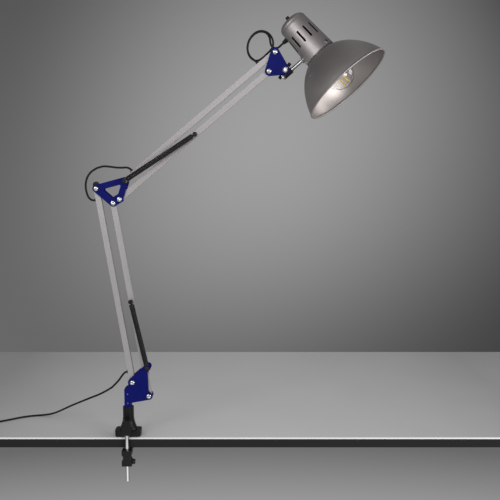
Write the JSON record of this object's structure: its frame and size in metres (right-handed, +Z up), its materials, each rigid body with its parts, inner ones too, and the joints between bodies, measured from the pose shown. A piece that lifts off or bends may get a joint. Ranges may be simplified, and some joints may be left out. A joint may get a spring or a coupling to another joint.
{
  "type": "swing-arm clamp lamp",
  "caption": "Swing-arm desk lamp on a table clamp: sprung parallel arms, blue pivot brackets, and a domed shade with vents that tilts and turns over a filament bulb.",
  "frame": {"origin": "on the table top, at the underside of the upper jaw's pad, under the swivel post's axis", "axes": "+Z up along the swivel post, +X the way the upper arms reach, -Y the front, on the springs' side"},
  "size_m": [0.8191, 0.2594, 0.8381],
  "materials": {
    "cast_black": "satin black enamel",
    "pad_rubber": "matte black rubber",
    "chrome": "bright plated steel",
    "bracket_blue": "gloss navy blue enamel",
    "arm_satin": "satin warm grey",
    "plastic_black": "satin black plastic",
    "nylon": "natural nylon",
    "spring_black": "black oxide spring steel",
    "head_nickel": "brushed nickel-tone lacquer",
    "holder_white": "white moulded resin",
    "socket_brass": "plain brass",
    "bulb_glass": "clear glass",
    "bulb_metal": "plain aluminium",
    "filament": "gold filament",
    "cord_black": "black cord sheath"
  },
  "bodies": {
    "clamp": {"upper_jaw": "cast_black", "upper_jaw_pad": "pad_rubber", "swivel_collar": "cast_black", "clamp_rod": "chrome", "power_cord": "cord_black", "cord_coil": "cord_black", "plug_body": "plastic_black", "plug_pins": "chrome"},
    "lower_jaw": {"lower_jaw": "cast_black", "lower_jaw_pad": "pad_rubber"},
    "thumb_screw": {"thumb_screw": "plastic_black"},
    "post": {"swivel_post": "chrome", "bracket_block": "bracket_blue", "lower_bracket_front": "bracket_blue", "lower_bracket_rear": "bracket_blue", "lower_bracket_fasteners": "chrome", "lower_bracket_washers": "nylon", "lower_spring_stud": "plastic_black", "lower_spring": "spring_black"},
    "rear_lower_arm": {"rear_lower_arm": "arm_satin", "rear_arm_plugs": "plastic_black"},
    "front_lower_arm": {"front_lower_arm": "arm_satin", "front_arm_plugs": "plastic_black", "lower_spring_knob": "plastic_black"},
    "elbow": {"elbow_plate_front": "bracket_blue", "elbow_plate_rear": "bracket_blue", "elbow_fasteners": "chrome", "elbow_washers": "nylon", "upper_spring_stud": "plastic_black", "upper_spring": "spring_black", "elbow_cord_loop": "cord_black"},
    "top_arm": {"top_arm": "arm_satin", "top_arm_plugs": "plastic_black"},
    "under_arm": {"under_arm": "arm_satin", "under_arm_plugs": "plastic_black", "upper_spring_knob": "plastic_black"},
    "head_bracket": {"head_bracket_front": "bracket_blue", "head_bracket_rear": "bracket_blue", "head_bracket_fasteners": "chrome", "head_bracket_washers": "nylon", "head_cord_loop": "cord_black"},
    "tilt_screw": {"tilt_screw": "chrome", "tilt_bar": "chrome", "tilt_bar_tips": "plastic_black"},
    "knuckle": {"tilt_knuckle": "plastic_black"},
    "head": {"head_stem": "chrome", "stem_nuts": "chrome", "cup": "head_nickel", "cup_cap": "head_nickel", "shade": "head_nickel", "shade_screws": "chrome", "lampholder": "holder_white", "socket_shell": "socket_brass", "bulb_glass": "bulb_glass", "bulb_base": "bulb_metal", "bulb_filaments": "filament", "cord_gland": "plastic_black", "switch_body": "chrome"},
    "button": {"switch_button": "plastic_black"}
  },
  "joints": [
    {"name": "jaw_slide", "type": "slide", "parent": "clamp", "child": "lower_jaw", "axis": [0, 0, 1], "range_m": [-0.022, 0.014]},
    {"name": "thumb_screw_turn", "type": "hinge", "parent": "lower_jaw", "child": "thumb_screw", "pos_m": [0.012, -0.024, -0.0425], "axis": [1, 0, 0], "range_deg": [-180, 180]},
    {"name": "base_swivel", "type": "hinge", "parent": "clamp", "child": "post", "pos_m": [0, 0, 0.046], "axis": [0, 0, 1], "range_deg": [-90, 90], "deforming": ["power_cord"]},
    {"name": "lower_arm_tilt", "type": "hinge", "parent": "post", "child": "rear_lower_arm", "pos_m": [0.009, 0, 0.1], "axis": [0, 1, 0], "range_deg": [-15, 50]},
    {"name": "front_arm_tilt", "type": "hinge", "parent": "post", "child": "front_lower_arm", "pos_m": [0.0385, 0, 0.0745], "axis": [0, 1, 0], "range_deg": [-15, 50], "deforming": ["lower_spring"]},
    {"name": "elbow_level", "type": "hinge", "parent": "rear_lower_arm", "child": "elbow", "pos_m": [-0.04931, 0, 0.45221], "axis": [0, 1, 0], "range_deg": [-50, 15]},
    {"name": "upper_arm_tilt", "type": "hinge", "parent": "elbow", "child": "top_arm", "pos_m": [0.00184, 0, 0.46596], "axis": [0, 1, 0], "range_deg": [-10, 70], "deforming": ["elbow_cord_loop"]},
    {"name": "under_arm_tilt", "type": "hinge", "parent": "elbow", "child": "under_arm", "pos_m": [-0.00846, 0, 0.43336], "axis": [0, 1, 0], "range_deg": [-10, 70], "deforming": ["upper_spring"]},
    {"name": "bracket_level", "type": "hinge", "parent": "top_arm", "child": "head_bracket", "pos_m": [0.26651, 0, 0.68882], "axis": [0, 1, 0], "range_deg": [-70, 10]},
    {"name": "tilt_screw_turn", "type": "hinge", "parent": "head_bracket", "child": "tilt_screw", "pos_m": [0.28431, 0, 0.65852], "axis": [0, 1, 0], "range_deg": [-90, 90]},
    {"name": "head_tilt", "type": "hinge", "parent": "head_bracket", "child": "knuckle", "pos_m": [0.28431, 0, 0.65852], "axis": [0, 1, 0], "range_deg": [-15, 60], "deforming": ["head_cord_loop"]},
    {"name": "head_swivel", "type": "hinge", "parent": "knuckle", "child": "head", "pos_m": [0.33685, 0, 0.69525], "axis": [0.7501, 0, 0.6613], "range_deg": [-75, 100]},
    {"name": "switch_press", "type": "slide", "parent": "head", "child": "button", "axis": [0.6424, -0.2377, -0.7286], "range_m": [0, 0.002], "stiffness_N_per_m": 500, "springref_m": -0.001}
  ],
  "couplings": [
    {"joint": "front_arm_tilt", "follows": "lower_arm_tilt", "ratio": 1},
    {"joint": "elbow_level", "follows": "lower_arm_tilt", "ratio": -1},
    {"joint": "under_arm_tilt", "follows": "upper_arm_tilt", "ratio": 1},
    {"joint": "bracket_level", "follows": "upper_arm_tilt", "ratio": -1}
  ]
}
